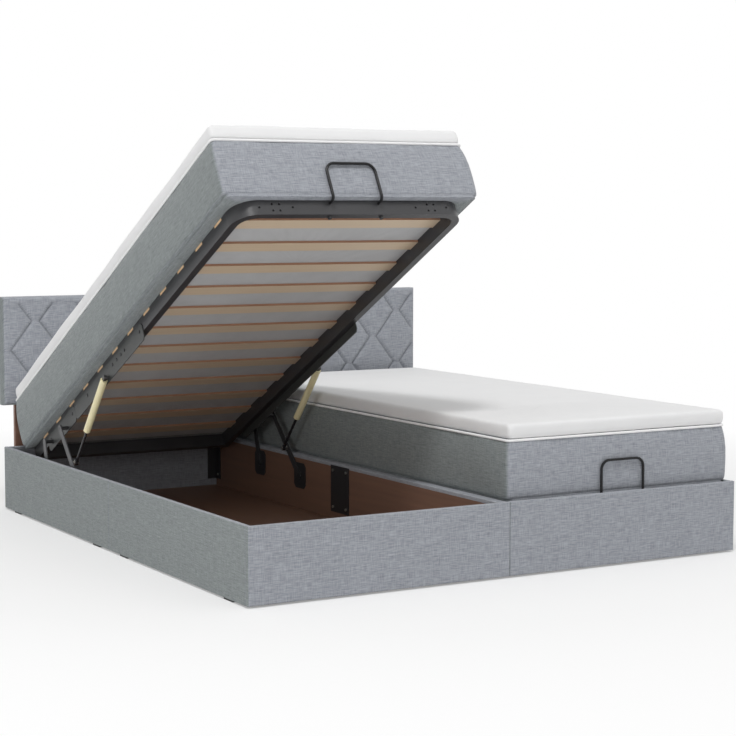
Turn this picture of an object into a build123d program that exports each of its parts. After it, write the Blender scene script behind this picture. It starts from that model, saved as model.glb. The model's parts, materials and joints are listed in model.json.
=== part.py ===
"""Ottoman storage bed with two lift-up mattress platforms, the left one raised.

Everything is in millimetres. X runs across the bed, Y from the foot to the head and Z up. The
origin is on the floor under the middle of the whole bed. Each platform, with its mattress, sits
in one bay of an upholstered box and is lifted by two lever pairs and two gas struts, one pair
and one strut in the narrow lane on each side of the platform.
"""
from build123d import *
import os
from math import atan2, cos, degrees, hypot, radians, sin

os.makedirs("parts", exist_ok=True)

# Upholstered box
box_length = 2110.0
box_width = 1830.0
box_height = 241.0
panel_thickness = 18.0
panel_edge_radius = 4.0
rail_end_chamfer = 4.0
glide_height = 6.0
glide_length = 60.0
glide_width = 14.0
glide_inset = 120.0
divider_thickness = 36.0
divider_height = 236.0

# Floor of the two storage bays
batten_height = 20.0
batten_width = 45.0
floor_thickness = 5.0
floor_play = 1.5
batten_share = (0.02, 0.25, 0.5, 0.75, 0.98)

# Steel joining plates, corner angles and their screws
plate_steel = 3.0
joint_plate_width = 130.0
joint_plate_height = 170.0
joint_plate_top_gap = 8.0
angle_leg = 40.0
angle_height = 160.0
screw_radius = 5.5
screw_head = 3.0
screw_inset = 18.0

# Headboard
headboard_width = 1848.0
headboard_top = 820.0
pad_bottom = 404.0
pad_thickness = 48.0
pad_overhang = 34.0
pad_edge_radius = 12.0
pad_edge_chamfer = 8.0
carrier_width = 1728.0
carrier_thickness = 18.0
carrier_bottom = 40.0
carrier_top_gap = 40.0
spacer_width = 120.0
spacer_height = 150.0
spacer_bottom = 60.0
spacer_share = (-0.4, 0.0, 0.4)

# Sewn diamonds of the headboard pad
diamond_columns = 8
diamond_pitch = 231.0
diamond_half_width = 100.0
neck_half_width = 15.5
neck_height = 724.0
diamond_half_height = 110.0
seam_width = 9.0
seam_depth = 4.0
seam_margin = 26.0

# Platform frame, bent from steel tube
lane_width = 39.5
frame_bottom = 184.0
frame_height = 48.0
frame_foot_gap = 36.0
frame_head_gap = 65.0
tube_width = 25.0
tube_wall = 2.0
foot_corner_radius = 75.0
head_corner_radius = 27.0
frame_hole_radius = 3.5
frame_hole_sides = 8
hole_group_share = 0.339
hole_group_single = 56.0
hole_group_width = 24.0
hole_group_height = 21.0

# Slats
slat_width = 53.0
slat_thickness = 8.0
slat_count = 12
slat_end_gap = 139.5
slat_play = 0.3

# Pull handle, bent from wire
handle_wire = 9.0
handle_sides = 6
handle_width = 170.0
handle_reach = 30.0
handle_root_drop = 10.0
handle_rise = 122.0
handle_root_bend = 14.0
handle_top_bend = 30.0
nut_radius = 7.0
nut_height = 8.0
nut_spacing = 180.0

# Mattress and topper
mattress_overhang = 50.0
mattress_height = 200.0
mattress_corner_radius = 16.0
mattress_foot_gap = 31.0
mattress_head_gap = 45.0
topper_side_inset = 12.0
topper_end_inset = 6.0
topper_height = 48.0
topper_corner_radius = 14.0
soft_gap = 0.3
mattress_level_shares = (0.0, 0.12, 0.5, 0.88, 1.0)
mattress_draw_shares = (1.0, 0.45, 0.0, 0.4, 0.95)
mattress_draw = 17.0
topper_level_shares = (0.0, 0.45, 0.85, 1.0)
topper_draw_shares = (0.12, 0.0, 0.3, 1.0)
topper_draw = 24.0

# Lift linkage, in the closed pose; its places run from the outer face of the head end
front_pivot_from_head = 748.2
front_pivot_height = 158.3
front_joint_from_head = 457.7
front_joint_height = 163.1
rear_joint_from_head = 285.0
rear_joint_height = 180.0
strut_foot_along_arm = 132.0
strut_head_from_head = 902.0
strut_head_height = 167.0
arm_sweep = 44.7
platform_tilt = 28.1

# Steel parts of the linkage, laid in the lane from the box wall towards the frame
running_gap = 0.3
bore_play = 0.1
arm_thickness = 4.0
arm_width = 26.0
pin_radius = 5.0
pin_head_radius = 10.0
pin_head = 1.0
strut_axis_depth = 22.5
sleeve_radius = 12.5
sleeve_length = 252.0
rod_radius = 5.0
rod_eye_radius = 9.0
rod_eye_width = 12.0
rod_grip = 40.0
lug_width = 12.0
lug_reach = 11.0
stud_collar_radius = 8.0
stud_flange = 2.0
mount_plate_width = 88.0
mount_plate_height = 96.0
mount_plate_corner = 14.0
joint_spacer_radius = 6.5

# Steel brackets on the sides of the platform frame
bracket_from_head = 1249.0
bracket_seam_from_joint = 94.0
bracket_seam = 1.0
bracket_drop = 30.0
bracket_corner = 10.0
bracket_head_margin = 42.0
bracket_top_gap = 10.0
bolt_radius = 6.0
bolt_head = 2.0
bolt_line_drop = 22.0
strut_bolt_share = (0.04, 0.25, 0.3, 0.36, 0.42, 0.8)
pivot_bolt_share = (0.1, 0.5, 0.9)
overrun = 20.0

# Places that follow from the sizes
carrier_front = box_length - pad_overhang + pad_thickness
overall_length = carrier_front + carrier_thickness
foot = -overall_length / 2
head = foot + box_length
inner_foot = foot + panel_thickness
inner_head = head - panel_thickness
middle = (foot + head) / 2
inner_side = box_width / 2 - panel_thickness
bay_half = (inner_side - divider_thickness / 2) / 2
bay_centre = (inner_side + divider_thickness / 2) / 2
rail_bottom = glide_height
floor_bottom = glide_height + batten_height
frame_top = frame_bottom + frame_height
frame_foot = foot + frame_foot_gap + panel_thickness
frame_head = inner_head - frame_head_gap
frame_length = frame_head - frame_foot
frame_width = 2 * (bay_half - lane_width)
frame_middle = (frame_foot + frame_head) / 2
mattress_foot = foot + mattress_foot_gap
pad_front = head - pad_overhang
mattress_length = pad_front - mattress_head_gap - mattress_foot
mattress_width = frame_width + 2 * mattress_overhang
mattress_middle = mattress_foot + mattress_length / 2
topper_length = mattress_length - 2 * topper_end_inset
topper_width = mattress_width - 2 * topper_side_inset
topper_bottom = frame_top + soft_gap + mattress_height + soft_gap


def write(piece, node, place=Location()):
    """Set a finished piece in its pose, label it and write it as the node's file."""
    placed = place * piece.part
    placed.label = node
    export_step(placed, f"parts/{node}.step")


def turned(point, centre, angle):
    """A point (y, z) turned about a centre, by degrees from +Y towards +Z."""
    y, z = point[0] - centre[0], point[1] - centre[1]
    c, s = cos(radians(angle)), sin(radians(angle))
    return (centre[0] + c * y - s * z, centre[1] + s * y + c * z)


def turn_about(point, angle):
    """The motion of a body that turns about an X axis through a point (y, z)."""
    y, z = point
    return Location((0, y, z), (angle, 0, 0)) * Location((0, -y, -z))


def circle_centre(a, b, c):
    """The centre of the circle through three points (y, z)."""
    ab, ac = (b[0] - a[0], b[1] - a[1]), (c[0] - a[0], c[1] - a[1])
    cross = 2 * (ab[0] * ac[1] - ab[1] * ac[0])
    ab2, ac2 = ab[0] ** 2 + ab[1] ** 2, ac[0] ** 2 + ac[1] ** 2
    return (a[0] + (ac[1] * ab2 - ab[1] * ac2) / cross, a[1] + (ab[0] * ac2 - ac[0] * ab2) / cross)


def direction(start, end):
    """The angle in degrees of the way from one point (y, z) to another."""
    return degrees(atan2(end[1] - start[1], end[0] - start[0]))


def distance(start, end):
    """The distance between two points (y, z)."""
    return hypot(end[0] - start[0], end[1] - start[1])


# Pivots of the linkage in the closed pose, as (y, z)
front_pivot = (head - front_pivot_from_head, front_pivot_height)
front_joint = (head - front_joint_from_head, front_joint_height)
rear_joint = (head - rear_joint_from_head, rear_joint_height)
strut_head = (head - strut_head_from_head, strut_head_height)
front_reach = distance(front_pivot, front_joint)
strut_foot = tuple(a + (b - a) * strut_foot_along_arm / front_reach
                   for a, b in zip(front_pivot, front_joint))


def on_platform(point, share):
    """Where a platform point goes at a share of the lift, as the front arms carry it."""
    carried = turned(point, front_joint, -(arm_sweep + platform_tilt) * share)
    return turned(carried, front_pivot, arm_sweep * share)


# The rear pivot is the centre of the arc that the rear joint follows
rear_pivot = circle_centre(*(on_platform(rear_joint, share) for share in (0, 0.5, 1)))
rear_sweep = direction(rear_pivot, on_platform(rear_joint, 1)) - direction(rear_pivot, rear_joint)
strut_closed = distance(strut_foot, strut_head)
strut_foot_open = turned(strut_foot, front_pivot, arm_sweep)
strut_stroke = distance(strut_foot_open, on_platform(strut_head, 1)) - strut_closed
strut_angle = direction(strut_foot, strut_head)
strut_turn = (direction(strut_foot_open, on_platform(strut_head, 1)) - strut_angle) % -360 - arm_sweep


def poses(bay_x, share):
    """The place of each moving body of a bay at a share of the lift, from 0 shut to 1 open."""
    bay = Location((bay_x, 0, 0))
    front = bay * turn_about(front_pivot, arm_sweep * share)
    rods = front * turn_about(strut_foot, strut_turn * share)
    y, z = turned((strut_stroke * share, 0), (0, 0), strut_angle)
    return {
        "front_arms": front,
        "rear_arms": bay * turn_about(rear_pivot, rear_sweep * share),
        "platform": front * turn_about(front_joint, -(arm_sweep + platform_tilt) * share),
        "rods": rods,
        "cylinders": rods * Location((0, y, z)),
    }


def lane(depth):
    """A plane across the bay's right-hand lane, a depth in from the box wall."""
    return Plane.YZ.offset(bay_half - depth)


def lane_disc(point, radius, start, end, mode=Mode.ADD):
    """A round piece on an X axis in the lane, between two depths from the box wall."""
    with BuildSketch(lane(start)) as disc:
        with Locations(point):
            Circle(radius)
    extrude(disc.sketch, amount=start - end, mode=mode)


def lane_hexagon(point, radius, start, end):
    """A hexagonal bolt head or nut on an X axis in the lane, between two depths."""
    with BuildSketch(lane(start)) as hexagon:
        with Locations(point):
            RegularPolygon(radius, 6)
    extrude(hexagon.sketch, amount=start - end)


def panel(low, high):
    """An upholstered panel between two corners, with softly rounded edges."""
    with BuildSketch(Plane.XY.offset(low[2])) as outline:
        with Locations(((low[0] + high[0]) / 2, (low[1] + high[1]) / 2)):
            Rectangle(high[0] - low[0], high[1] - low[1])
    extrude(outline.sketch, amount=high[2] - low[2])


# The box: two foot panels, four side rails, two head panels and the divider, each one board
# wrapped in fabric, standing on low plastic glides
for side, sign in (("left", -1), ("right", 1)):
    with BuildPart() as foot_panel:
        panel((0, foot, rail_bottom), (box_width / 2, inner_foot, box_height))
        fillet(foot_panel.faces().sort_by(Axis.Y)[0].edges(), panel_edge_radius)
        fillet(foot_panel.edges().filter_by(Axis.X).group_by(Axis.Z)[-1].sort_by(Axis.Y)[-1],
               panel_edge_radius)
        if sign < 0:
            mirror(about=Plane.YZ, mode=Mode.REPLACE)
    write(foot_panel, f"foot_panel_{side}")

    for end, start, stop in (("foot", inner_foot, middle), ("head", middle, head)):
        with BuildPart() as side_rail:
            panel((inner_side, start, rail_bottom), (box_width / 2, stop, box_height))
            chamfer(side_rail.faces().sort_by(Axis.X)[-1].edges().filter_by(Axis.Z), rail_end_chamfer)
            fillet(side_rail.edges().filter_by(Axis.Y).group_by(Axis.Z)[-1], panel_edge_radius)
            if sign < 0:
                mirror(about=Plane.YZ, mode=Mode.REPLACE)
        write(side_rail, f"side_rail_{side}_{end}")

    with BuildPart() as head_panel:
        panel((0, inner_head, rail_bottom), (inner_side, head, box_height))
        fillet(head_panel.edges().filter_by(Axis.X).group_by(Axis.Z)[-1], panel_edge_radius)
        if sign < 0:
            mirror(about=Plane.YZ, mode=Mode.REPLACE)
    write(head_panel, f"head_panel_{side}")

for end, start, stop in (("foot", inner_foot, middle), ("head", middle, inner_head)):
    with BuildPart() as divider:
        panel((-divider_thickness / 2, start, rail_bottom),
              (divider_thickness / 2, stop, divider_height))
        fillet(divider.edges().filter_by(Axis.Y).group_by(Axis.Z)[-1], panel_edge_radius)
    write(divider, f"centre_divider_{end}")

rail_middles = (box_width / 2 - panel_thickness / 2, -box_width / 2 + panel_thickness / 2, 0)
glide_steps = (inner_foot + glide_inset, middle - glide_inset, middle + glide_inset,
               inner_head - glide_inset)
with BuildPart() as glides:
    with BuildSketch():
        with Locations(*((x, y) for x in rail_middles for y in glide_steps)):
            Rectangle(glide_width, glide_length)
    extrude(amount=glide_height)
write(glides, "glides")

# Floor of each bay: thin boards on cross battens
batten_places = [inner_foot + batten_width + (inner_head - inner_foot - 2 * batten_width) * share
                 for share in batten_share]
with BuildPart() as floor_battens:
    with BuildSketch(Plane.XY.offset(rail_bottom)):
        with Locations(*((x, y) for x in (-bay_centre, bay_centre) for y in batten_places)):
            Rectangle(2 * bay_half, batten_width)
    extrude(amount=batten_height)
write(floor_battens, "floor_battens")

for side, x in (("left", -bay_centre), ("right", bay_centre)):
    with BuildPart() as floor_boards:
        for start, stop in ((inner_foot, middle), (middle, inner_head)):
            panel((x - bay_half + floor_play, start + floor_play, floor_bottom),
                  (x + bay_half - floor_play, stop - floor_play, floor_bottom + floor_thickness))
    write(floor_boards, f"{side}_floor_boards")

# Steel plates over the seams of the side rails and of the divider, and angles in the corners
joint_plate_bottom = divider_height - joint_plate_top_gap - joint_plate_height
seam_faces = ((-inner_side, 1), (inner_side, -1))
divider_faces = ((-divider_thickness / 2, -1), (divider_thickness / 2, 1))


def seam_plates(faces):
    """A joining plate over the middle seam on each of the wall faces (x, outward sign)."""
    for x, outward in faces:
        with BuildSketch(Plane.YZ.offset(x)) as plate:
            with Locations((middle, joint_plate_bottom + joint_plate_height / 2)):
                Rectangle(joint_plate_width, joint_plate_height)
        extrude(plate.sketch, amount=outward * plate_steel)


with BuildPart() as rail_joining_plates:
    seam_plates(seam_faces)
write(rail_joining_plates, "rail_joining_plates")

with BuildPart() as divider_joining_plates:
    seam_plates(divider_faces)
write(divider_joining_plates, "divider_joining_plates")

corners = [(x, y, side, end) for x, side in seam_faces + divider_faces
           for y, end in ((inner_foot, 1), (inner_head, -1))]
with BuildPart() as corner_angles:
    with BuildSketch(Plane.XY.offset(joint_plate_bottom)):
        for x, y, side, end in corners:
            with Locations((x + side * angle_leg / 2, y + end * plate_steel / 2)):
                Rectangle(angle_leg, plate_steel)
            with Locations((x + side * plate_steel / 2, y + end * angle_leg / 2)):
                Rectangle(plate_steel, angle_leg)
    extrude(amount=angle_height)
write(corner_angles, "corner_angles")

plate_heights = (joint_plate_bottom + screw_inset,
                 joint_plate_bottom + joint_plate_height - screw_inset)
angle_heights = (joint_plate_bottom + screw_inset, joint_plate_bottom + angle_height - screw_inset)
with BuildPart() as box_screws:
    for x, outward in seam_faces + divider_faces:
        with BuildSketch(Plane.YZ.offset(x + outward * plate_steel)):
            with Locations(*((middle + step * (joint_plate_width / 2 - screw_inset), z)
                             for step in (-1, 1) for z in plate_heights)):
                RegularPolygon(screw_radius, 6)
            with Locations(*((y, z) for y in (inner_foot + angle_leg - screw_inset,
                                              inner_head - angle_leg + screw_inset)
                             for z in angle_heights)):
                RegularPolygon(screw_radius, 6)
        extrude(amount=outward * screw_head)
write(box_screws, "box_screws")

# Headboard: a bare board fixed behind the head panels, with an upholstered pad on its front
with BuildPart() as carrier_board:
    panel((-carrier_width / 2, foot + carrier_front, carrier_bottom),
          (carrier_width / 2, foot + overall_length, headboard_top - carrier_top_gap))
write(carrier_board, "headboard_board")

with BuildPart() as spacers:
    with BuildSketch(Plane.XZ.offset(-head)):
        with Locations(*((share * carrier_width, spacer_bottom + spacer_height / 2)
                         for share in spacer_share)):
            Rectangle(spacer_width, spacer_height)
    extrude(amount=-(foot + carrier_front - head))
write(spacers, "headboard_spacers")


def zigzag(x, inward):
    """One sewn line of the pad: it runs down the pad, near a column's middle at each neck."""
    points = []
    for step in (-1, 0, 1, 2, 3):
        reach = neck_half_width if step % 2 == 0 else diamond_half_width
        points.append((x + inward * reach, neck_height - step * diamond_half_height))
    return points


def clipped(points, low, high):
    """The part of a falling line of points (x, z) between two heights."""
    kept = []
    for (xa, za), (xb, zb) in zip(points, points[1:]):
        top, bottom = min(za, high), max(zb, low)
        if top > bottom:
            for z in (top, bottom):
                kept.append((xa + (xb - xa) * (za - z) / (za - zb), z))
    return [point for i, point in enumerate(kept) if i == 0 or point != kept[i - 1]]


with BuildPart() as headboard_pad:
    panel((-headboard_width / 2, pad_front, pad_bottom),
          (headboard_width / 2, pad_front + pad_thickness, headboard_top))
    fillet(headboard_pad.edges().filter_by(Axis.Y), pad_edge_radius)
    chamfer(headboard_pad.faces().sort_by(Axis.Y)[0].edges(), pad_edge_chamfer)
    for column in range(diamond_columns):
        x = (column - (diamond_columns - 1) / 2) * diamond_pitch
        for inward in (-1, 1):
            line = clipped(zigzag(x, inward), pad_bottom + seam_margin, headboard_top - seam_margin)
            line = [(min(abs(px), headboard_width / 2 - seam_margin) * (1 if px > 0 else -1), pz)
                    for px, pz in line]
            with BuildLine() as seam:
                Polyline(*((px, pad_front, pz) for px, pz in line))
            with BuildSketch(Plane(seam.line @ 0, x_dir=(0, 1, 0), z_dir=seam.line % 0)):
                Polygon((-seam_depth, -seam_width), (seam_depth, 0), (-seam_depth, seam_width),
                        align=None)
            sweep(transition=Transition.RIGHT, mode=Mode.SUBTRACT)
write(headboard_pad, "headboard_pad")


# Mount plates of the linkage and the pins that the arms turn on, in both lanes of both bays
arm_inner = running_gap + arm_thickness + plate_steel

with BuildPart() as mount_plates:
    for x in (-bay_centre, bay_centre):
        for side in (-1, 1):
            with BuildSketch(Plane.YZ.offset(x + side * bay_half)) as plate:
                with Locations(front_pivot, rear_pivot):
                    Rectangle(mount_plate_width, mount_plate_height)
                chamfer(plate.vertices(), mount_plate_corner)
            extrude(amount=-side * plate_steel)
write(mount_plates, "mount_plates")

for side, x in (("left", -bay_centre), ("right", bay_centre)):
    with BuildPart() as arm_pins:
        for pivot in (front_pivot, rear_pivot):
            lane_disc(pivot, pin_radius, plate_steel, arm_inner + running_gap + pin_head)
            lane_hexagon(pivot, pin_head_radius, arm_inner + running_gap,
                         arm_inner + running_gap + pin_head)
        mirror(about=Plane.YZ)
    write(arm_pins, f"{side}_arm_pins", Location((x, 0, 0)))


def flat_bar(start, end, holes):
    """A flat steel bar with round ends between two joints (y, z), with its bores."""
    with BuildSketch(lane(plate_steel + running_gap)) as bar:
        with Locations((start[0] / 2 + end[0] / 2, start[1] / 2 + end[1] / 2)):
            SlotCenterToCenter(distance(start, end), arm_width, rotation=direction(start, end))
        with Locations(*holes):
            Circle(pin_radius + bore_play, mode=Mode.SUBTRACT)
    extrude(bar.sketch, amount=-arm_thickness)


bracket_face = bay_half - frame_width / 2 - plate_steel
eye_outer = strut_axis_depth - rod_eye_width / 2
eye_inner = strut_axis_depth + rod_eye_width / 2

with BuildPart() as front_arms:
    flat_bar(front_pivot, front_joint, (front_pivot, front_joint))
    mirror(about=Plane.YZ)

with BuildPart() as rear_arms:
    flat_bar(rear_pivot, rear_joint, (rear_pivot,))
    mirror(about=Plane.YZ)

# Studs on the front arms carry the feet of the struts
with BuildPart() as arm_studs:
    lane_hexagon(strut_foot, stud_collar_radius, arm_inner, eye_outer - running_gap)
    lane_disc(strut_foot, pin_radius, eye_outer - running_gap, eye_inner + running_gap)
    lane_hexagon(strut_foot, stud_collar_radius, eye_inner + running_gap,
                 eye_inner + running_gap + stud_flange)
    mirror(about=Plane.YZ)

# Studs on the rear arms reach to the frame brackets, where the linkage stays open
with BuildPart() as rear_studs:
    lane_hexagon(rear_joint, joint_spacer_radius, arm_inner,
                 bracket_face - running_gap - stud_flange)
    lane_hexagon(rear_joint, pin_head_radius, bracket_face - running_gap - stud_flange,
                 bracket_face - running_gap)
    mirror(about=Plane.YZ)

# Gas struts: a black rod with an eye, a coloured sleeve and a bright end fitting with its stud
strut_axis = Plane(origin=(bay_half - strut_axis_depth, *strut_foot), x_dir=(1, 0, 0),
                   z_dir=(0, strut_head[0] - strut_foot[0], strut_head[1] - strut_foot[1]))
sleeve_start = strut_closed - lug_reach - sleeve_length
rod_length = sleeve_start - lug_reach + strut_stroke + rod_grip


def eye(centre, way):
    """A flat eye at one end of a strut, with a lug that reaches along an angle."""
    with BuildSketch(lane(eye_outer)) as outline:
        with Locations(centre):
            Circle(rod_eye_radius)
        with Locations(Location((*centre, 0), (0, 0, way))):
            Rectangle(lug_reach, lug_width, align=(Align.MIN, Align.CENTER))
    extrude(outline.sketch, amount=-rod_eye_width)


with BuildPart() as strut_rods:
    with BuildSketch(strut_axis.offset(lug_reach)):
        Circle(rod_radius)
    extrude(amount=rod_length)
    eye(strut_foot, strut_angle)
    lane_disc(strut_foot, pin_radius + bore_play, eye_outer, eye_inner, mode=Mode.SUBTRACT)
    mirror(about=Plane.YZ)

with BuildPart() as strut_sleeves:
    with BuildSketch(strut_axis.offset(sleeve_start)):
        Circle(sleeve_radius)
    extrude(amount=sleeve_length)
    with BuildSketch(strut_axis.offset(sleeve_start)):
        Circle(rod_radius + bore_play)
    extrude(amount=strut_stroke + 2 * rod_grip, mode=Mode.SUBTRACT)
    mirror(about=Plane.YZ)

with BuildPart() as strut_tops:
    eye(strut_head, direction(strut_head, strut_foot))
    lane_disc(strut_head, pin_radius, eye_inner, bracket_face - running_gap)
    lane_hexagon(strut_head, stud_collar_radius, bracket_face - running_gap - stud_flange,
                 bracket_face - running_gap)
    mirror(about=Plane.YZ)

# Long brackets bolted on the sides of the frame: the foot one for the strut, the other for the arms
bracket_top = frame_top - slat_thickness - bracket_top_gap
bracket_bottom = frame_bottom - bracket_drop
strut_bracket_start = head - bracket_from_head
pivot_bracket_start = front_joint[0] - bracket_seam_from_joint
pivot_bracket_end = rear_joint[0] + bracket_head_margin


def bracket(start, end):
    """A flat bracket on each side of the frame, from one place along it to another."""
    with BuildSketch(lane(bracket_face)) as outline:
        with Locations(((start + end) / 2, (bracket_bottom + bracket_top) / 2)):
            Rectangle(end - start, bracket_top - bracket_bottom)
        chamfer(outline.vertices(), bracket_corner)
    extrude(outline.sketch, amount=-plate_steel)
    mirror(about=Plane.YZ)


with BuildPart() as strut_brackets:
    bracket(strut_bracket_start, pivot_bracket_start - bracket_seam)

with BuildPart() as pivot_brackets:
    bracket(pivot_bracket_start, pivot_bracket_end)

with BuildPart() as pivot_pins:
    lane_hexagon(front_joint, joint_spacer_radius, bracket_face, arm_inner + running_gap)
    lane_disc(front_joint, pin_radius, arm_inner + running_gap, plate_steel + running_gap)
    mirror(about=Plane.YZ)

bolt_line = bracket_top - bolt_line_drop
with BuildPart() as bracket_bolts:
    with BuildSketch(lane(bracket_face)):
        with Locations(*((strut_bracket_start + share * (pivot_bracket_start - strut_bracket_start),
                          bolt_line) for share in strut_bolt_share)):
            RegularPolygon(bolt_radius, 6)
        with Locations(*((pivot_bracket_start + share * (pivot_bracket_end - pivot_bracket_start),
                          bolt_line) for share in pivot_bolt_share)):
            RegularPolygon(bolt_radius, 6)
    extrude(amount=bolt_head)
    mirror(about=Plane.YZ)


def frame_outline(level, inset):
    """The outline of the platform frame at a level, drawn in by an inset."""
    with BuildSketch(Plane.XY.offset(level)) as outline:
        with Locations((0, frame_middle)):
            Rectangle(frame_width - 2 * inset, frame_length - 2 * inset)
        rows = outline.vertices().group_by(Axis.Y)
        fillet(rows[0], max(foot_corner_radius - inset, tube_wall))
        fillet(rows[-1], max(head_corner_radius - inset, tube_wall))
    return outline.sketch


# Slats lie flush in notches of the frame's side tubes
slat_pitch = (frame_length - 2 * slat_end_gap) / (slat_count - 1)
slat_places = [frame_foot + slat_end_gap + slat_pitch * i for i in range(slat_count)]
slat_bottom = frame_top - slat_thickness


def slat_row(length, width, thickness):
    """Boards across the frame at the slats' places, each of a length, a width and a thickness."""
    with BuildSketch(Plane.XY.offset(slat_bottom)) as row:
        with Locations(*((0, y) for y in slat_places)):
            Rectangle(length, width)
    extrude(row.sketch, amount=thickness)


with BuildPart() as platform_slats:
    slat_row(frame_width, slat_width, slat_thickness)

with BuildPart() as notches:
    slat_row(frame_width + overrun, slat_width + 2 * slat_play, slat_thickness + overrun)

with BuildPart() as frame_ring:
    extrude(frame_outline(frame_bottom, 0), amount=frame_height)
    extrude(frame_outline(frame_bottom, tube_width), amount=frame_height, mode=Mode.SUBTRACT)

with BuildPart() as tube_hollow:
    hollow_bottom = frame_bottom + tube_wall
    hollow_height = frame_height - 2 * tube_wall
    extrude(frame_outline(hollow_bottom, tube_wall), amount=hollow_height)
    extrude(frame_outline(hollow_bottom, tube_width - tube_wall), amount=hollow_height,
            mode=Mode.SUBTRACT)

# The ring is welded from four bent tubes that meet on the diagonals of its corners
half_width = frame_width / 2
with BuildPart() as end_zones:
    with BuildSketch(Plane.XY.offset(frame_bottom)):
        for end, inward, reach in ((frame_foot, 1, foot_corner_radius),
                                   (frame_head, -1, head_corner_radius)):
            Polygon((-half_width, end), (half_width, end), (half_width - reach, end + inward * reach),
                    (-half_width + reach, end + inward * reach), align=None)
    extrude(amount=frame_height)

with BuildPart() as end_bars:
    add(frame_ring.part)
    add(tube_hollow.part, mode=Mode.SUBTRACT)
    add(end_zones.part, mode=Mode.INTERSECT)
    front_wall = Plane(origin=(0, frame_foot, frame_bottom + frame_height / 2), x_dir=(1, 0, 0),
                       z_dir=(0, -1, 0))
    with BuildSketch(front_wall):
        for group in (-hole_group_share * frame_width, hole_group_share * frame_width):
            with Locations((group - hole_group_single, 0), (group + hole_group_single, 0)):
                RegularPolygon(frame_hole_radius, frame_hole_sides)
            with Locations((group, 0)):
                with GridLocations(hole_group_width, hole_group_height, 2, 2):
                    RegularPolygon(frame_hole_radius, frame_hole_sides)
    extrude(amount=-(tube_wall + tube_width) / 2, mode=Mode.SUBTRACT)

with BuildPart() as side_bars:
    add(frame_ring.part)
    add(tube_hollow.part, mode=Mode.SUBTRACT)
    add(end_zones.part, mode=Mode.SUBTRACT)
    add(notches.part, mode=Mode.SUBTRACT)

# Pull handle: a wire loop that runs out under the mattress and up its foot end
root_height = frame_top - handle_root_drop
handle_plane = frame_foot - handle_reach
handle_points = ((-handle_width / 2, frame_foot, root_height),
                 (-handle_width / 2, handle_plane, root_height),
                 (-handle_width / 2, handle_plane, root_height + handle_rise),
                 (handle_width / 2, handle_plane, root_height + handle_rise),
                 (handle_width / 2, handle_plane, root_height),
                 (handle_width / 2, frame_foot, root_height))
handle_bends = (handle_root_bend, handle_top_bend, handle_top_bend, handle_root_bend)
with BuildPart() as handle:
    with BuildLine() as handle_path:
        FilletPolyline(*handle_points, radius=handle_bends)
    with BuildSketch(Plane(handle_points[0], z_dir=(0, -1, 0))):
        RegularPolygon(handle_wire / 2, handle_sides)
    sweep()

with BuildPart() as handle_nuts:
    with BuildSketch(Plane.XY.offset(frame_bottom)):
        with Locations(*((side * nut_spacing / 2, frame_foot + tube_width / 2) for side in (-1, 1))):
            RegularPolygon(nut_radius, 6)
    extrude(amount=-nut_height)


def cushion(level, size, height, corner, shares, draws, draw):
    """A soft block lofted through rounded rectangles, each drawn in by its share of a size."""
    for level_share, draw_share in zip(shares, draws):
        inset = draw * draw_share
        with BuildSketch(Plane.XY.offset(level + height * level_share)) as layer:
            with Locations((0, mattress_middle)):
                RectangleRounded(size[0] - 2 * inset, size[1] - 2 * inset, corner)
        add(layer.sketch)
    loft(ruled=True)


with BuildPart() as mattress:
    cushion(frame_top + soft_gap, (mattress_width, mattress_length), mattress_height,
            mattress_corner_radius, mattress_level_shares, mattress_draw_shares, mattress_draw)

with BuildPart() as topper:
    cushion(topper_bottom, (topper_width, topper_length), topper_height, topper_corner_radius,
            topper_level_shares, topper_draw_shares, topper_draw)

# The left platform stands open and the right one is shut
moving_pieces = {
    "front_arms": {"front_arms": front_arms, "arm_studs": arm_studs},
    "rear_arms": {"rear_arms": rear_arms, "rear_studs": rear_studs},
    "rods": {"strut_rods": strut_rods},
    "cylinders": {"strut_sleeves": strut_sleeves, "strut_tops": strut_tops},
    "platform": {"strut_brackets": strut_brackets, "pivot_brackets": pivot_brackets,
                 "pivot_pins": pivot_pins, "bracket_bolts": bracket_bolts,
                 "platform_end_bars": end_bars, "platform_side_bars": side_bars,
                 "platform_slats": platform_slats, "handle": handle, "handle_nuts": handle_nuts,
                 "mattress": mattress, "topper": topper},
}
for side, bay_x, share in (("left", -bay_centre, 1), ("right", bay_centre, 0)):
    places = poses(bay_x, share)
    for body, pieces in moving_pieces.items():
        for name, piece in pieces.items():
            write(piece, f"{side}_{name}", places[body])
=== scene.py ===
"""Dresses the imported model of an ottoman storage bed, seen from the foot end's left corner.

The left platform stands open and the right one is shut. Soft pieces are worked out in the shut
pose, in metres, and the left ones are then carried to the raised pose as the linkage does it.
"""
import json
from math import atan2, pi, radians

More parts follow.
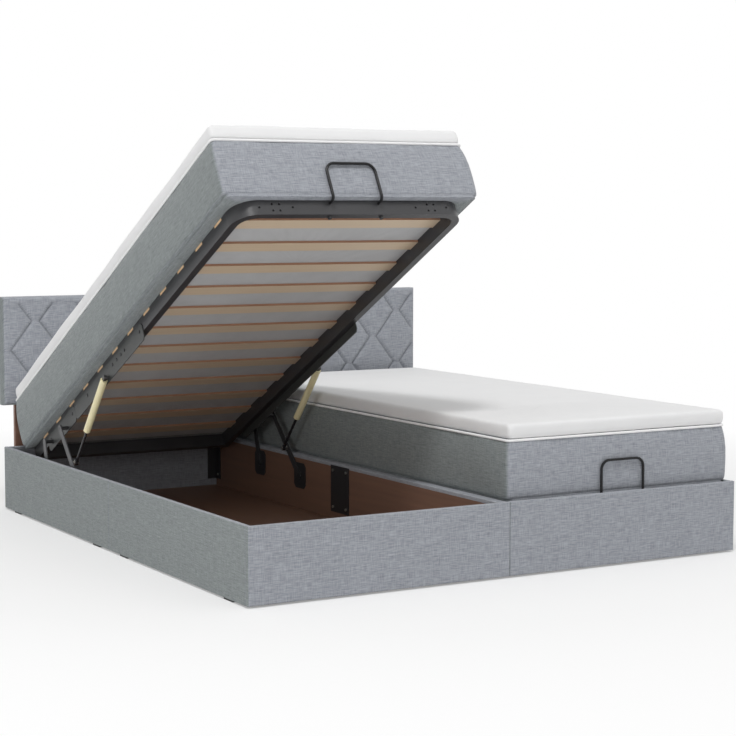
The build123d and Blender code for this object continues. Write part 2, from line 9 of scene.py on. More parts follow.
import bpy
import numpy as np
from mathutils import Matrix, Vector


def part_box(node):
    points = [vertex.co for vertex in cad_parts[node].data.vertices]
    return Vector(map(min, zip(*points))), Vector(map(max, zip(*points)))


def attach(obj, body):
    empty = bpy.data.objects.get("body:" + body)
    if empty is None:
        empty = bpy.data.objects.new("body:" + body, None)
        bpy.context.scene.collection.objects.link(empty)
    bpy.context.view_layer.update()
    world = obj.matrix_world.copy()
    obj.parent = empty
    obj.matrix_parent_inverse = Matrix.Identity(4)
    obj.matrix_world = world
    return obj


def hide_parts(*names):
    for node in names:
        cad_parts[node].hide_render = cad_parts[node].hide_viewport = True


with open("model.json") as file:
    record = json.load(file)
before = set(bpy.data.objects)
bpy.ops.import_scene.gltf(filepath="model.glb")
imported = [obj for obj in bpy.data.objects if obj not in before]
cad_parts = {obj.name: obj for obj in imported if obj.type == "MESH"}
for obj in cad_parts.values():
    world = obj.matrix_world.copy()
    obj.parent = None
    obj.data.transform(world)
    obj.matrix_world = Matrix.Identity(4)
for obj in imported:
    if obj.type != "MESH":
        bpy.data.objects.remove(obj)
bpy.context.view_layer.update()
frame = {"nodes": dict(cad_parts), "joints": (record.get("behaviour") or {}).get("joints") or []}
nodes = frame["nodes"]
joints = {joint["name"]: joint for joint in frame["joints"]}
SIDES = ("left", "right")


# Colours

def rgb(red, green, blue):
    """A linear colour from the three numbers, 0 to 255, of a screen colour."""
    return tuple(((c / 255 + 0.055) / 1.055) ** 2.4 if c > 10 else c / 3295
                 for c in (red, green, blue)) + (1.0,)


def scaled(colour, factor, added=0.0):
    """A colour made darker or lighter by a factor, with the same amount added to each part."""
    return tuple(min(1.0, c * factor + added) for c in colour[:3]) + (1.0,)


# A pair holds the two tones between which a finish mixes
WHITE = (1.0, 1.0, 1.0, 1.0)
LINEN = rgb(130, 134, 141), rgb(177, 180, 187)
# A darker, greener tint painted as shade on faces that look sideways or down
SIDE_SHADE = (0.66, 0.70, 0.64, 1.0)
BOARD = rgb(108, 80, 66), rgb(136, 104, 86)
HEADBOARD_BOARD = rgb(112, 82, 68), rgb(142, 106, 90)
SLAT_FACE, SLAT_TINT = (rgb(196, 176, 150), rgb(222, 204, 180)), rgb(204, 180, 150)
SLAT_EDGE = rgb(186, 140, 110), rgb(150, 106, 82)
SLAT_END = rgb(236, 200, 158), rgb(206, 164, 122)


# Shader maths

class Value:
    """A socket of a node tree; sums, products and quotients of values add Math nodes."""

    def __init__(self, owner, socket):
        self.owner, self.socket = owner, socket

    def math(self, operation, *others, clamp=False):
        """This value and others through one Math node."""
        return self.owner.node("Math", dict(operation=operation, use_clamp=clamp),
                               {i: v for i, v in enumerate((self, *others))})

    def __add__(self, other):
        return self.math("ADD", other)

    __radd__ = __add__

    def __sub__(self, other):
        return self.math("SUBTRACT", other)

    def __rsub__(self, other):
        return self.owner.node("Math", dict(operation="SUBTRACT"), {0: other, 1: self})

    def __mul__(self, other):
        return self.math("MULTIPLY", other)

    __rmul__ = __mul__

    def __truediv__(self, other):
        return self.math("DIVIDE", other)

    def __gt__(self, other):
        return self.math("GREATER_THAN", other)

    def __abs__(self):
        return self.math("ABSOLUTE")

    def clamped(self):
        """This value kept between 0 and 1."""
        return self.math("ADD", 0.0, clamp=True)

    def sine(self, pitch):
        """The sine of this value, from -1 to 1, one turn for each pitch."""
        return (self * (2 * pi / pitch)).math("SINE")


class Nodes:
    """A node tree under construction, of a material or of the world."""

    def __init__(self, tree):
        self.tree = tree

    def node(self, kind, settings=None, inputs=None, output=0):
        """A node of a type, with its settings and then the values or links of its sockets."""
        made = self.tree.nodes.new("ShaderNode" + kind)
        for key, value in (settings or {}).items():
            setattr(made, key, value)
        for key, value in (inputs or {}).items():
            self.plug(made.inputs[key], value)
        return Value(self, made.outputs[output])

    def plug(self, socket, value):
        """Links a value to a socket, or sets a plain number or colour on it."""
        if isinstance(value, Value):
            self.tree.links.new(value.socket, socket)
        else:
            socket.default_value = value

    def place(self, turn=0.0):
        """Object coordinates, turned back about X by the angle that the piece is raised."""
        where = self.node("TexCoord", output="Object")
        if turn:
            where = self.node("Mapping", None, {"Vector": where, "Rotation": (turn, 0.0, 0.0)})
        return where

    def facing(self, turn=0.0):
        """The piece's own normal, turned back in the same way."""
        normal = self.node("TexCoord", output="Normal")
        if turn:
            normal = self.node("Mapping", dict(vector_type="NORMAL"),
                               {"Vector": normal, "Rotation": (turn, 0.0, 0.0)})
        return normal

    def split(self, vector):
        """The three parts of a vector."""
        made = self.tree.nodes.new("ShaderNodeSeparateXYZ")
        self.plug(made.inputs[0], vector)
        return [Value(self, made.outputs[i]) for i in range(3)]

    def join(self, x, y, z=0.0):
        """A vector from three values."""
        return self.node("CombineXYZ", None, {0: x, 1: y, 2: z})

    def noise(self, vector, scale=1.0, detail=2.0, roughness=0.5):
        """Smooth random values from 0 to 1."""
        return self.node("TexNoise", None, {"Vector": vector, "Scale": scale, "Detail": detail,
                                            "Roughness": roughness}, "Fac")

    def mix(self, factor, first, second):
        """A colour between two colours."""
        return self.node("Mix", dict(data_type="RGBA"), {0: factor, 6: first, 7: second}, 2)

    def bump(self, height, depth):
        """A normal from a height from 0 to 1 and its full depth in metres."""
        return self.node("Bump", None, {"Height": height, "Distance": depth, "Strength": 1.0},
                         "Normal")


class Finish(Nodes):
    """A material under construction: a Principled surface and the nodes that feed it."""

    def __init__(self, name, roughness=0.8, metallic=0.0, coat=0.0, sheen=0.0, specular=0.5):
        self.material = bpy.data.materials.new(name)
        self.material.use_nodes = True
        super().__init__(self.material.node_tree)
        self.surface = self.tree.nodes["Principled BSDF"]
        for socket, value in (("Roughness", roughness), ("Metallic", metallic),
                              ("Coat Weight", coat), ("Sheen Weight", sheen),
                              ("Specular IOR Level", specular)):
            self.surface.inputs[socket].default_value = value

    def set(self, **sockets):
        """Feeds sockets of the surface, named with underscores for spaces."""
        for name, value in sockets.items():
            self.plug(self.surface.inputs[name.replace("_", " ")], value)
        return self.material


def seen_directly(tree):
    """1 for rays from the camera and for what metal or glass shows, 0 for light on surfaces."""
    path = [tree.node("LightPath", output=f"Is {kind} Ray")
            for kind in ("Camera", "Glossy", "Transmission")]
    return (path[0] + path[1] + path[2]).clamped()


# Finishes

BOX_SIDE, SLAT_SIDE = 0.7, 0.6      # a normal's part along an axis from which a face is its side
WEFT_APART = 7.0                    # keeps the second set of threads off the first one's noise
YARN_PITCH, RIB_PITCH, DOT_PITCH, PLY_PITCH = 0.0021, 0.003, 0.006, 0.0016


def fabric_plane(finish, from_uv):
    """Two coordinates in metres on the cloth, from the piece's map or by the side that a face of
    a box lies on."""
    if from_uv:
        across, along, _ = finish.split(finish.node("TexCoord", output="UV"))
        return across, along
    x, y, z = finish.split(finish.place())
    nx, _, nz = finish.split(finish.facing())
    on_side, on_top = abs(nx) > BOX_SIDE, abs(nz) > BOX_SIDE
    return x + on_side * (y - x), z + on_top * (y - z)


def threads(finish, across, along, thickness, length):
    """Streaks of two crossing sets of slubbed threads, each from 0 to 1."""
    fine, coarse = 1 / thickness, 1 / length
    warp = finish.noise(finish.join(across * fine, along * coarse), detail=3.0)
    weft = finish.noise(finish.join(across * coarse, along * fine, WEFT_APART), detail=3.0)
    return warp, weft


def linen(name, dark, light, from_uv=False, seam=False):
    """Melange linen-look upholstery: crossing slubbed threads over a fine even weave. Faces that
    look sideways or down get a painted shade that makes them a little darker and greener."""
    finish = Finish(name, roughness=0.92, sheen=0.25, specular=0.2)
    across, along = fabric_plane(finish, from_uv)
    warp, weft = threads(finish, across, along, thickness=0.0024, length=0.032)
    wide_warp, wide_weft = threads(finish, across, along, thickness=0.006, length=0.12)
    narrow = (warp * 0.8 + weft * 1.2 - 1.0) * 1.5
    wide = (wide_warp * 0.6 + wide_weft * 1.4 - 1.0) * 0.5
    tone = narrow + wide + 0.5
    nx, _, nz = finish.split(finish.facing())
    # Painted shade: faces that look sideways or down are made darker and greener
    turned = ((abs(nx).math("MAXIMUM", nz * -1.0) - 0.5) * 2.5).clamped()
    side_shade = finish.mix(turned, WHITE, SIDE_SHADE)
    colour = finish.node("VectorMath", dict(operation="MULTIPLY"),
                         {0: finish.mix(tone.clamped(), dark, light), 1: side_shade})
    if seam:
        # Painted shade: the cloth is darkened along the quilting seams, in their creases
        seam_shade = finish.node("Attribute", dict(attribute_name="seam"), output="Fac")
        colour = finish.mix(seam_shade * 0.55, colour, scaled(dark, 0.35))
    weave = across.sine(YARN_PITCH) * along.sine(YARN_PITCH) * 0.5 + 0.5
    height = weave * 0.35 + (warp + weft) * 0.33
    return finish.set(Base_Color=colour, Normal=finish.bump(height, depth=0.0009))


def knit(name, colour, shade):
    """A smooth white knitted cover with a faint uneven tone."""
    finish = Finish(name, roughness=0.85, sheen=0.15, specular=0.25)
    across, along = fabric_plane(finish, from_uv=True)
    soft = finish.noise(finish.join(across * 9.0, along * 9.0), detail=3.0)
    rib = across.sine(RIB_PITCH) * 0.5 + 0.5
    return finish.set(Base_Color=finish.mix(soft * 0.6, colour, shade),
                      Normal=finish.bump(rib * 0.3 + soft, depth=0.0006))


def cloth(name, dark, light):
    """The plain smooth cloth under a mattress."""
    finish = Finish(name, roughness=0.9, specular=0.2)
    across, along = fabric_plane(finish, from_uv=True)
    cloudy = finish.noise(finish.join(across * 14.0, along * 14.0), detail=4.0)
    dots = across.sine(DOT_PITCH) * along.sine(DOT_PITCH)
    return finish.set(Base_Color=finish.mix(cloudy, dark, light),
                      Normal=finish.bump(dots * 0.5 + 0.5, depth=0.0004))


def coated_steel(name, colour, roughness=0.42, specular=0.5):
    """Powder-coated steel: a fine orange-peel surface, a little uneven in gloss."""
    finish = Finish(name, roughness=roughness, specular=specular)
    where = finish.place()
    peel = finish.noise(where, scale=900.0, detail=2.0)
    cloudy = finish.noise(where, scale=14.0, detail=4.0)
    return finish.set(Base_Color=finish.mix(cloudy * 0.6, colour, scaled(colour, 1.5, 0.01)),
                      Roughness=cloudy * 0.2 + (roughness - 0.1),
                      Normal=finish.bump(peel, depth=0.00012))


def bare_steel(name, colour, roughness=0.3):
    """Zinc-plated steel with fine directionless scratches."""
    finish = Finish(name, roughness=roughness, metallic=1.0)
    where = finish.place()
    scratch = finish.noise(where, scale=700.0, detail=3.0)
    cloudy = finish.noise(where, scale=60.0, detail=3.0)
    return finish.set(Base_Color=finish.mix(cloudy, scaled(colour, 0.7), colour),
                      Roughness=scratch * 0.25 + roughness,
                      Normal=finish.bump(scratch, depth=0.0001))


def sleeve_paint(name, colour):
    """Glossy sprayed paint on the strut sleeves, slightly uneven."""
    finish = Finish(name, roughness=0.35, coat=0.4)
    cloudy = finish.noise(finish.place(), scale=40.0, detail=3.0)
    return finish.set(Base_Color=finish.mix(cloudy * 0.5, colour, scaled(colour, 0.86)),
                      Roughness=cloudy * 0.15 + 0.28)


def slat_wood(name, turn):
    """Laminated slats: lacquered faces with grain along X, dark glue lines on reddish edges."""
    finish = Finish(name, roughness=0.5, coat=0.12)
    x, y, z = finish.split(finish.place(turn))
    nx, ny, _ = finish.split(finish.facing(turn))
    grain = finish.noise(finish.join(x * 3.0, y * 260.0, z * 260.0), detail=5.0, roughness=0.6)
    board = finish.noise(finish.join(x * 0.4, y * 6.3), detail=0.0)
    face = finish.mix((board * 0.5).clamped(), finish.mix(grain, *SLAT_FACE), SLAT_TINT)
    plies = z.sine(PLY_PITCH) * 0.5 + 0.5
    edge = finish.mix(plies * 0.4 + grain * 0.4, *SLAT_EDGE)
    end = finish.mix(grain * 0.5, *SLAT_END)
    colour = finish.mix(abs(ny) > SLAT_SIDE, face, edge)
    colour = finish.mix(abs(nx) > SLAT_SIDE, colour, end)
    return finish.set(Base_Color=colour, Roughness=grain * 0.2 + 0.4,
                      Normal=finish.bump(grain, depth=0.0003))


def faced_board(name, dark, light, along_y=True, capped_from=None):
    """Board with a printed wood grain; above a height it may be wrapped in the upholstery."""
    finish = Finish(name, roughness=0.55)
    x, y, z = finish.split(finish.place())
    run, cross = (y, x) if along_y else (x, y)
    grain = finish.noise(finish.join(cross * 60.0, run * 2.2, z * 60.0), detail=5.0,
                         roughness=0.6)
    colour, roughness, height = finish.mix(grain, dark, light), grain * 0.2 + 0.42, grain
    if capped_from:
        capped = z > capped_from
        warp, weft = threads(finish, x + z, y, thickness=0.0026, length=0.035)
        tone = ((warp + weft - 1.0) * 1.5 + 0.5).clamped()
        colour = finish.mix(capped, colour, finish.mix(tone, *LINEN))
        roughness = roughness + capped * 0.4
        height = grain + capped * (warp + weft - grain)
    return finish.set(Base_Color=colour, Roughness=roughness,
                      Normal=finish.bump(height, depth=0.0003))


def plastic(name, colour):
    """Moulded plastic with a fine spark-eroded texture."""
    finish = Finish(name, roughness=0.6)
    grit = finish.noise(finish.place(), scale=1200.0)
    return finish.set(Base_Color=colour, Roughness=grit * 0.2 + 0.5,
                      Normal=finish.bump(grit, depth=0.0001))


CAP_DEPTH = 0.013                   # how far down the upholstery wraps the divider's top
cap_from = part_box("centre_divider_foot")[1][2] - CAP_DEPTH

upholstery = linen("linen_upholstery", *LINEN)
upholstery_fitted = linen("linen_cover", *LINEN, from_uv=True)
upholstery_quilted = linen("linen_quilted", *LINEN, from_uv=True, seam=True)
white_cover = knit("white_knit", rgb(235, 235, 235), rgb(226, 226, 227))
white_piping = knit("white_piping", rgb(244, 244, 244), rgb(236, 236, 236))
underside = cloth("underside_cloth", rgb(178, 179, 180), rgb(196, 197, 198))
frame_coat = coated_steel("frame_powder_coat", rgb(48, 48, 50), roughness=0.36)
bracket_coat = coated_steel("bracket_powder_coat", rgb(58, 60, 59), specular=0.4)
black_coat = coated_steel("black_powder_coat", rgb(34, 34, 36))
handle_coat = coated_steel("handle_coat", rgb(16, 16, 18), roughness=0.4, specular=0.25)
rod_finish = coated_steel("rod_nitride", rgb(30, 30, 33), roughness=0.25)
plated = bare_steel("zinc_plate", rgb(196, 196, 192))
dark_plated = bare_steel("dark_zinc_plate", rgb(104, 104, 104))
yellow_sleeve = sleeve_paint("sleeve_paint", rgb(246, 236, 190))
brown_board = faced_board("brown_board", *BOARD)
divider_finish = faced_board("divider_board", *BOARD, capped_from=cap_from)
dark_board = faced_board("dark_board", *HEADBOARD_BOARD, along_y=False)
glide_plastic = plastic("glide_plastic", rgb(30, 30, 32))


# From the shut pose to the raised one, as the arms and the platform turn

lift, tilt = joints["left_lift"], joints["left_platform_tilt"]
arm_sweep, arm_tilt = radians(-lift["range_deg"][0]), radians(tilt["range_deg"][1])
raised_by = arm_tilt - arm_sweep
bay_shift = joints["right_lift"]["pos_m"][0] - lift["pos_m"][0]


def turn_x(points, centre, angle):
    """Points turned about an X axis through a centre: y and z go round by an angle."""
    out = np.array(points, float)
    y, z = out[..., 1] - centre[1], out[..., 2] - centre[2]
    out[..., 1] = centre[1] + np.cos(angle) * y - np.sin(angle) * z
    out[..., 2] = centre[2] + np.sin(angle) * y + np.cos(angle) * z
    return out


def stand(points, side):
    """Points of the shut right platform, moved to where the side's platform is at rest."""
    if side == "right":
        return points
    moved = np.array(points, float) - np.array((bay_shift, 0.0, 0.0))
    moved = turn_x(moved, lift["pos_m"], arm_sweep)
    return turn_x(moved, tilt["pos_m"], -arm_tilt)


# Meshes from grids of points

WAVE_LEAN = 9                       # how much a wave's phase gains with each metre of height


def grid_mesh(name, grid, material, wrap_rows=False, wrap_columns=False, uv=None, seam=None,
              second=None, second_rows=()):
    """A mesh whose vertex (i, j) is grid[i, j]; each cell of the grid is one four-sided face.
    The cells of the second rows take the second material."""
    rows, columns = grid.shape[:2]
    i, j = np.meshgrid(np.arange(rows if wrap_rows else rows - 1),
                       np.arange(columns if wrap_columns else columns - 1), indexing="ij")
    corner = ((i, j), (i, j + 1), (i + 1, j + 1), (i + 1, j))
    faces = np.stack([(a % rows) * columns + b % columns for a, b in corner], -1).reshape(-1, 4)
    mesh = bpy.data.meshes.new(name)
    mesh.vertices.add(rows * columns)
    mesh.vertices.foreach_set("co", grid.reshape(-1).astype(np.float32))
    mesh.loops.add(faces.size)
    mesh.loops.foreach_set("vertex_index", faces.reshape(-1).astype(np.int32))
    mesh.polygons.add(len(faces))
    mesh.polygons.foreach_set("loop_start", np.arange(0, faces.size, 4, dtype=np.int32))
    mesh.materials.append(material)
    if second:
        mesh.materials.append(second)
        mesh.polygons.foreach_set("material_index", np.isin(i.reshape(-1), second_rows)
                                  .astype(np.int32))
    mesh.update()
    mesh.polygons.foreach_set("use_smooth", np.ones(len(faces), bool))
    if uv is not None:
        flat = np.stack([uv[a, b] for a, b in corner], -2).reshape(-1, 2)
        mesh.uv_layers.new(name="cloth").data.foreach_set("uv", flat.reshape(-1))
    if seam is not None:
        mesh.attributes.new("seam", "FLOAT", "POINT").data.foreach_set(
            "value", seam.reshape(-1).astype(np.float32))
    made = bpy.data.objects.new(name, mesh)
    bpy.context.scene.collection.objects.link(made)
    return made


def rounded_outline(half_x, half_y, radius, step=0.02, arc=8):
    """Round a rectangle whose corners are quarter circles: each point's place on the rectangle
    through the corners' centres, as shares of its half sizes, its outward way, and the run."""
    core, ways = [], []
    corners = np.array(((1, -1), (1, 1), (-1, 1), (-1, -1)), float)
    for k, (corner, following) in enumerate(zip(corners, np.roll(corners, -1, 0))):
        angle = np.linspace(-pi / 2, 0, arc) + k * pi / 2
        way = np.stack((np.cos(angle), np.sin(angle)), -1)
        core.append(np.repeat(corner[None], arc, 0))
        ways.append(way)
        side = 2 * (half_y if k % 2 == 0 else half_x)
        share = np.linspace(0, 1, int(side / step) + 1)[1:-1, None]
        core.append(corner + share * (following - corner))
        ways.append(np.repeat(way[-1:], len(share), 0))
    core, ways = np.concatenate(core), np.concatenate(ways)
    points = core * (half_x - radius, half_y - radius) + radius * ways
    steps = np.linalg.norm(np.diff(points, axis=0, append=points[:1]), axis=1)
    return core, ways, np.concatenate(([0.0], np.cumsum(steps)))


def soft_block(centre, half, radius, profile, waves, foot=(0.0, 0.0)):
    """Rings of a soft block: each is a rounded rectangle, drawn in by the profile's inset at its
    height, and drawn to the middle line by its share where the profile closes the two faces.
    Below the foot's height the two ends are drawn in by the foot's own inset. Slow waves add a
    little unevenness along the run."""
    half_x, half_y = half
    core, ways, run = rounded_outline(half_x, half_y, radius)
    share, inset, height = (np.array(c)[:, None] for c in zip(*profile))
    wave = sum(a * np.sin(run[None, :-1] * 2 * pi / length + phase + WAVE_LEAN * height)
               for a, length, phase in waves) * share
    end_inset = np.where(height < foot[0], foot[1], inset)
    inner = np.stack((half_x - radius - inset, half_y - radius - end_inset), -1)
    flat = core[None] * inner + ways[None] * (radius + wave)[..., None]
    reach = half_y - half_x
    middle = np.stack((np.zeros_like(wave), np.clip(flat[..., 1], -reach, reach)), -1)
    flat = middle + share[..., None] * (flat - middle)
    grid = np.concatenate((flat + np.array(centre[:2]),
                           np.broadcast_to(centre[2] + height, wave.shape)[..., None]), -1)
    inward = inset + (1 - share) * half_x
    steps = np.concatenate(([[0.0]], np.hypot(np.diff(inward, axis=0), np.diff(height, axis=0))))
    run, depth = np.broadcast_arrays(run[None], np.cumsum(steps, axis=0))
    return grid, np.stack((run, depth), -1)


def tube(path, radius, sides=10):
    """A round tube round a closed path: circles square to the path at each of its points."""
    ahead = np.roll(path, -1, 0) - np.roll(path, 1, 0)
    ahead /= np.linalg.norm(ahead, axis=1, keepdims=True)
    up = np.broadcast_to((0.0, 0.0, 1.0), path.shape)
    out = np.cross(ahead, up)
    angle = np.linspace(0, 2 * pi, sides, endpoint=False)
    return (path[:, None] + radius * (np.cos(angle)[None, :, None] * out[:, None]
                                      + np.sin(angle)[None, :, None] * up[:, None]))


def stand_for(piece, body, node=None):
    """Attaches a piece to a body's empty so that it rides with the body; a padded one also hides
    the CAD node that it stands for.
    """
    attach(piece, body)
    if node:
        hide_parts(node)
    return piece


# Mattresses and toppers: half sizes, corner radii and fills, and each wave's height, length and
# phase. Each profile's rows give the share of the way out from the middle line, inset and height.

MATTRESS_HALF, MATTRESS_CORNER, MATTRESS_FILL = (0.45, 1.0), 0.016, 0.9
TOPPER_HALF, TOPPER_CORNER, TOPPER_FILL = (0.438, 0.994), 0.014, 0.85
MATTRESS_WAVES = ((0.0012, 0.61, 0.4), (0.0008, 0.23, 2.1), (0.0004, 0.11, 4.0))
TOPPER_WAVES = ((0.0015, 0.83, 1.1), (0.0008, 0.31, 0.2))
MATTRESS_FOOT = (0.0109, 0.004)     # the ends' height and inset behind the foot panel's edge
UNDERSIDE_CELLS = 3                 # rows of cells that show the cloth under the mattress
MATTRESS_PROFILE = (
    (0.0, 0.0, 0.0), (0.5, 0.02, 0.0), (0.9, 0.019, 0.0), (1.0, 0.018, 0.0),
    (1.0, 0.015, 0.002), (1.0, 0.0138, 0.006), (1.0, 0.0136, 0.0098), (1.0, 0.0126, 0.0106),
    (1.0, 0.0062, 0.0111), (1.0, 0.0034, 0.0135), (1.0, 0.002, 0.02), (1.0, 0.0008, 0.04),
    (1.0, 0.0, 0.08), (1.0, 0.0004, 0.12), (1.0, 0.0028, 0.15), (1.0, 0.0058, 0.172),
    (1.0, 0.009, 0.187), (1.0, 0.0125, 0.1945), (1.0, 0.017, 0.1985), (1.0, 0.024, 0.2),
    (0.94, 0.02, 0.2), (0.5, 0.02, 0.2), (0.0, 0.0, 0.2))
TOPPER_PROFILE = (
    (0.0, 0.0, 0.0), (0.5, 0.01, 0.0), (0.97, 0.01, 0.0), (1.0, 0.008, 0.0004),
    (1.0, 0.0035, 0.003), (1.0, 0.001, 0.008), (1.0, 0.0, 0.018), (1.0, 0.0, 0.03),
    (1.0, 0.0008, 0.0385), (1.0, 0.003, 0.0435), (1.0, 0.0068, 0.0466), (1.0, 0.012, 0.0479),
    (0.97, 0.012, 0.0482), (0.9, 0.01, 0.0485), (0.5, 0.01, 0.0488), (0.0, 0.0, 0.0488))

# Piping: the rim's half sizes, its height above the mattress's underside and the cord's radius
RIM_CORNER = 0.012
UPPER_RIM, UPPER_HEIGHT, UPPER_CORD = (0.44, 0.99), 0.1958, 0.0042
LOWER_RIM, LOWER_HEIGHT, LOWER_CORD = (0.4355, 0.9955), 0.003, 0.0028
rim_core, rim_ways, _ = rounded_outline(*UPPER_RIM, RIM_CORNER)


def under_middle(node):
    """The middle of a CAD node's box, at its lowest height."""
    low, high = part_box(node)
    return (low[0] + high[0]) / 2, (low[1] + high[1]) / 2, low[2]


def mattress_piping(name, side, half, height, radius, material):
    """A cord round a mattress, along a rounded rectangle at a height."""
    middle = under_middle("right_mattress")
    rim = rim_core * (np.array(half) - RIM_CORNER) + RIM_CORNER * rim_ways + middle[:2]
    rim = np.concatenate((rim, np.full((len(rim), 1), middle[2] + height)), 1)
    return grid_mesh(name, stand(tube(rim, radius), side), material, wrap_rows=True,
                     wrap_columns=True)


for side in SIDES:
    body = f"{side}_platform"
    grid, uv = soft_block(under_middle("right_mattress"), MATTRESS_HALF, MATTRESS_CORNER,
                          MATTRESS_PROFILE, MATTRESS_WAVES, MATTRESS_FOOT)
    mattress = grid_mesh(f"{side}_mattress_cover", stand(grid, side)[::-1], upholstery_fitted,
                         wrap_columns=True, uv=uv[::-1], second=underside,
                         second_rows=range(len(grid) - UNDERSIDE_CELLS, len(grid)))
    stand_for(mattress, body, f"{side}_mattress")

    upper = mattress_piping(f"{side}_mattress_piping", side, UPPER_RIM, UPPER_HEIGHT, UPPER_CORD,
                            white_piping)
    stand_for(upper, body)
    lower = mattress_piping(f"{side}_mattress_lower_piping", side, LOWER_RIM, LOWER_HEIGHT,
                            LOWER_CORD, upholstery)
    stand_for(lower, body)

    grid, uv = soft_block(under_middle("right_topper"), TOPPER_HALF, TOPPER_CORNER,
                          TOPPER_PROFILE, TOPPER_WAVES)
    topper = grid_mesh(f"{side}_topper_cover", stand(grid, side)[::-1], white_cover,
                       wrap_columns=True, uv=uv[::-1])
    stand_for(topper, body, f"{side}_topper")


# Quilted headboard pad: its grid and edges, the diamonds' columns, necks and heights, how far the
# seams keep from the pad's ends and from its top and foot, and the cloth's dip, crown, puckers and
# the width of the painted shade at a seam

PAD_COLUMNS, PAD_ROWS, PAD_FILL = 440, 104, 0.8
PAD_EDGE, EDGE_TURN, PAD_BACK = 0.014, 0.98, 0.003
DIAMOND_COLUMNS, DIAMOND_PITCH, DIAMOND_SHIFT = 8, 0.2323, 0.0235
NECK_HALF, WIDE_HALF, NECK_HEIGHT, HALF_DIAMOND = 0.0155, 0.1, 0.724, 0.11
END_MARGIN, LEVEL_MARGIN, FADE_WIDTH = 0.002, 0.02, 0.02
DIP_DEPTH, DIP_WIDTH, CROWN_DEPTH, CROWN_WIDTH = 0.006, 0.006, 0.004, 0.022
PUCKER_DEPTH, PUCKER_WIDTH, PUCKER_PITCH, SEAM_SHADE_WIDTH = 0.0006, 0.012, 0.021, 0.0022
pad_low, pad_high = (np.array(corner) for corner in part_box("headboard_pad"))


def quilting(x, z):
    """How far the quilted face lies behind its crown, and how near a seam is, from 0 to 1, which
    sets the painted shade along the seam. Each column's seams are a zigzag to each side of its
    middle line;
    the cloth dips at a seam as a bell curve and crowns between seams, with small puckers along the
    seam."""
    along = x - DIAMOND_SHIFT
    column = (along / DIAMOND_PITCH + DIAMOND_COLUMNS / 2 - 0.5).round()
    from_middle = along - (column - DIAMOND_COLUMNS / 2 + 0.5) * DIAMOND_PITCH
    phase = (NECK_HEIGHT - z) / HALF_DIAMOND
    reach = NECK_HALF + (WIDE_HALF - NECK_HALF) * (1 - abs(phase % 2 - 1))
    slope = np.cos(atan2(WIDE_HALF - NECK_HALF, HALF_DIAMOND))
    away = abs(abs(from_middle) - reach) * slope
    margin = np.minimum(np.minimum(x - pad_low[0], pad_high[0] - x) - END_MARGIN,
                        np.minimum(z - pad_low[2], pad_high[2] - z) - LEVEL_MARGIN)
    fade = np.clip(margin / FADE_WIDTH, 0, 1)
    wander = 3 * np.sin(x * 40)
    pucker = np.sin(z * 2 * pi / PUCKER_PITCH + wander) * np.exp(-(away / PUCKER_WIDTH) ** 2)
    dip = (DIP_DEPTH * np.exp(-(away / DIP_WIDTH) ** 2)
           + CROWN_DEPTH * np.exp(-away / CROWN_WIDTH))
    return (dip + PUCKER_DEPTH * pucker) * fade, np.exp(-(away / SEAM_SHADE_WIDTH) ** 2) * fade


def quilted_pad():
    """The pad's points, its map in metres and the share of painted shade along its seams. The
    front is an upright grid that dips at the seams and falls back at its edges as a quarter
    circle; two rows behind it and a column at each end close the pad at the back."""
    x, z = np.meshgrid(np.linspace(pad_low[0], pad_high[0], PAD_COLUMNS),
                       np.linspace(pad_low[2], pad_high[2], PAD_ROWS))
    edge = np.minimum(np.minimum(x - pad_low[0], pad_high[0] - x),
                      np.minimum(z - pad_low[2], pad_high[2] - z))
    edge = np.clip(1 - edge / PAD_EDGE, 0, 1)
    dip, seam = quilting(x, z)
    y = pad_low[1] + dip + PAD_EDGE * (1 - np.sqrt(1 - (edge * EDGE_TURN) ** 2))
    front = np.stack((x, y, z), -1)
    back = front[[-1, 0]].copy()
    back[..., 1] = pad_high[1]
    grid = np.concatenate((front, back))
    ends = grid[:, [0, -1]].copy()
    ends[..., 1] = pad_high[1]
    grid[-2:, [0, -1], 0] += np.array((PAD_BACK, -PAD_BACK))
    grid = np.concatenate((ends[:, :1], grid, ends[:, 1:]), 1)
    uv = np.concatenate((grid, grid[:1]))
    uv = np.stack((uv[..., 0], uv[..., 2] + uv[..., 1]), -1)
    uv[:, [0, -1], 0] += np.array((-1, 1)) * (pad_high[1] - pad_low[1])
    return grid, uv, np.pad(np.concatenate((seam, seam[:2] * 0)), ((0, 0), (1, 1)))


pad_grid, pad_uv, pad_seam = quilted_pad()
pad = grid_mesh("headboard_quilted_pad", pad_grid, upholstery_quilted, wrap_rows=True, uv=pad_uv,
                seam=pad_seam)
stand_for(pad, "box", "headboard_pad")


# Finishes of the CAD nodes, by a part of the node's name; the last one that fits is used

FINISHES = {
    "foot_panel": upholstery, "side_rail": upholstery, "head_panel": upholstery,
    "centre_divider": divider_finish, "glides": glide_plastic, "floor_": brown_board,
    "joining_plates": black_coat, "corner_angles": black_coat, "box_screws": plated,
    "headboard_board": dark_board, "headboard_spacers": dark_board,
    "mount_plates": black_coat, "arm_pins": black_coat, "front_arms": frame_coat,
    "arm_studs": plated, "rear_arms": frame_coat, "rear_studs": black_coat,
    "strut_rods": rod_finish, "strut_sleeves": yellow_sleeve, "strut_tops": dark_plated,
    "brackets": bracket_coat, "bracket_bolts": black_coat, "pivot_pins": black_coat,
    "_bars": frame_coat, "left_platform_slats": slat_wood("left_slat_wood", raised_by),
    "right_platform_slats": slat_wood("right_slat_wood", 0.0), "handle": handle_coat,
    "handle_nuts": black_coat,
}
for node, piece in nodes.items():
    found = [finish for part, finish in FINISHES.items() if part in node]
    if found and not piece.hide_render:
        piece.data.materials.clear()
        piece.data.materials.append(found[-1])


# Floor: the distances from the origin at which it starts to turn white and is plain white, and
# the share of white that lightens the shadow

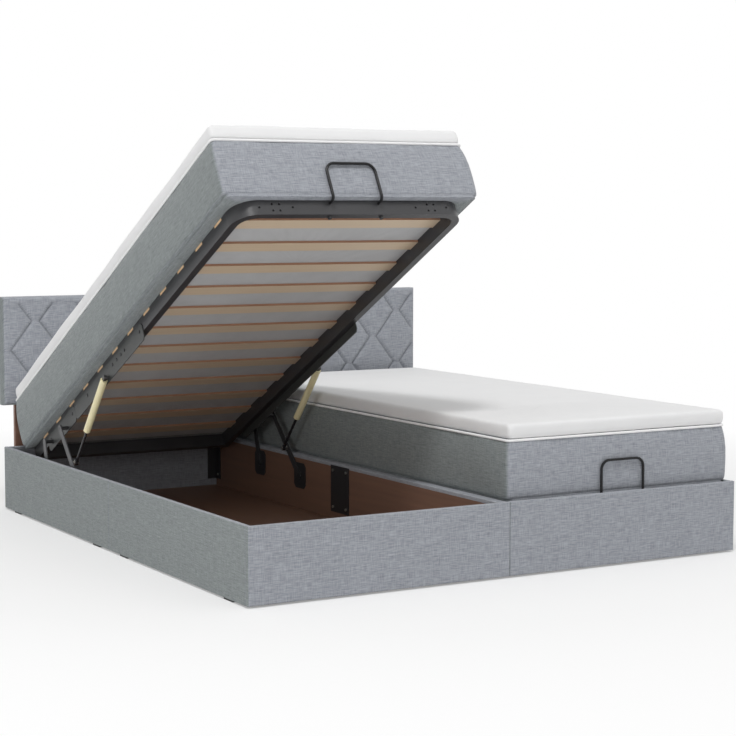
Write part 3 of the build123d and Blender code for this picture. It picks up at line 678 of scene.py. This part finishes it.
FLOOR_NEAR, FLOOR_FAR, SHADOW_SOFTENING = 1.7, 3.6, 0.3
FLOOR_CORNERS = [(-30, -30, 0), (30, -30, 0), (30, 40, 0), (-30, 40, 0)]


def studio_floor():
    """A pale floor that keeps the shadow by the bed and turns to plain white further out."""
    finish = Finish("pale_floor", roughness=0.9, specular=0.1)
    finish.set(Base_Color=rgb(240, 240, 240))
    away = finish.node("VectorMath", dict(operation="LENGTH"), {0: finish.place()}, "Value")
    faded = ((away - FLOOR_NEAR) / (FLOOR_FAR - FLOOR_NEAR)).clamped()
    white = finish.node("Emission", None, {"Color": WHITE, "Strength": 1.0})
    share = seen_directly(finish) * (faded * (1 - SHADOW_SOFTENING) + SHADOW_SOFTENING)
    shown = finish.node("MixShader", None, {0: share, 1: Value(finish, finish.surface.outputs[0]),
                                            2: white})
    finish.plug(finish.tree.nodes["Material Output"].inputs["Surface"], shown)
    return finish.material


floor = bpy.data.objects.new("floor", bpy.data.meshes.new("floor"))
floor.data.from_pydata(FLOOR_CORNERS, [], [(0, 1, 2, 3)])
floor.data.materials.append(studio_floor())
bpy.context.scene.collection.objects.link(floor)


# Lamps and sky

def lamp(name, place, aim, size, power):
    """A square white soft box at a place, turned to face a point."""
    light = bpy.data.lights.new(name, "AREA")
    light.energy, light.size = power, size
    made = bpy.data.objects.new(name, light)
    made.location = place
    way = np.array(aim, float) - np.array(place, float)
    made.rotation_euler = (atan2(np.hypot(way[0], way[1]), -way[2]), 0.0,
                           atan2(way[1], way[0]) - pi / 2)
    bpy.context.scene.collection.objects.link(made)


lamp("top_lamp", place=(-3.6, -5.0, 11.3), aim=(0.2, 0.0, 0.4), size=2.0, power=600.0)
lamp("key_lamp", place=(3.2, -5.2, 4.2), aim=(0.0, 0.0, 0.4), size=3.0, power=15.0)
lamp("left_lamp", place=(-5.0, -1.5, 1.2), aim=(0.0, 0.0, 0.4), size=2.0, power=28.0)
lamp("low_lamp", place=(-1.5, -4.5, 0.5), aim=(-0.4, 0.0, 0.6), size=2.0, power=6.0)

# The sky's light from the horizon ahead, and how much it gains upwards and to the right
SKY_LIGHT, SKY_OVERHEAD, SKY_RIGHT = 0.28, 0.54, 0.14
world = bpy.data.worlds.new("studio")
bpy.context.scene.world = world
world.use_nodes = True
sky = Nodes(world.node_tree)
backdrop = sky.tree.nodes["Background"]
backdrop.inputs["Color"].default_value = WHITE
right, _, up = sky.split(sky.node("TexCoord", output="Generated"))
light = (up * SKY_OVERHEAD + right * SKY_RIGHT + SKY_LIGHT).clamped()
seen = seen_directly(sky)
sky.plug(backdrop.inputs["Strength"], (1 - seen) * light + seen)


# Camera, as fitted to the photograph: its place, pitch and heading in radians, and in pixels the
# picture's width, the focal length and the column that it looks along

CAMERA_PLACE, CAMERA_PITCH, CAMERA_HEADING = (-3.26667, -5.80333, 1.14434), 0.084, 0.522
PICTURE_WIDTH, FOCAL_LENGTH, MIDDLE_COLUMN = 736, 1851.3, 359.44
SENSOR_WIDTH, SIGHT_LIMIT = 36.0, 200.0
camera = bpy.data.objects.new("camera", bpy.data.cameras.new("camera"))
camera.location = CAMERA_PLACE
camera.rotation_euler = (pi / 2 - CAMERA_PITCH, 0.0, -CAMERA_HEADING)
camera.data.sensor_width = SENSOR_WIDTH
camera.data.lens = FOCAL_LENGTH / PICTURE_WIDTH * SENSOR_WIDTH
camera.data.shift_x = (PICTURE_WIDTH / 2 - MIDDLE_COLUMN) / PICTURE_WIDTH
camera.data.clip_end = SIGHT_LIMIT
bpy.context.scene.collection.objects.link(camera)
bpy.context.scene.camera = camera
bpy.context.scene.view_settings.view_transform = "Standard"
